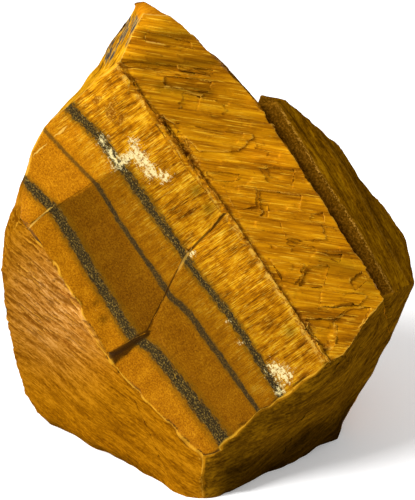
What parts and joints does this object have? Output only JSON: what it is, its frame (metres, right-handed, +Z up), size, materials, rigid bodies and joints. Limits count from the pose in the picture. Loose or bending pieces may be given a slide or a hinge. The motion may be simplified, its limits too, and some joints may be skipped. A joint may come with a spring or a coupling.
{
  "type": "raw tiger eye stone",
  "caption": "Loose chunk of raw golden-brown tiger's eye: flat fracture faces, a small step, a stepped side slab and slanting dark bands. It rests on its flat base.",
  "frame": {"origin": "on the flat base, under the middle of the stone's bounding box", "axes": "+Z up, -Y towards the banded and fibrous front faces, +X to the right as the front is seen"},
  "size_m": [0.0718, 0.0518, 0.0743],
  "materials": {
    "stone": "broken quartz, silky along the fibres and dull on the granular breaks"
  },
  "bodies": {
    "root": {"stone": "stone"}
  },
  "joints": []
}
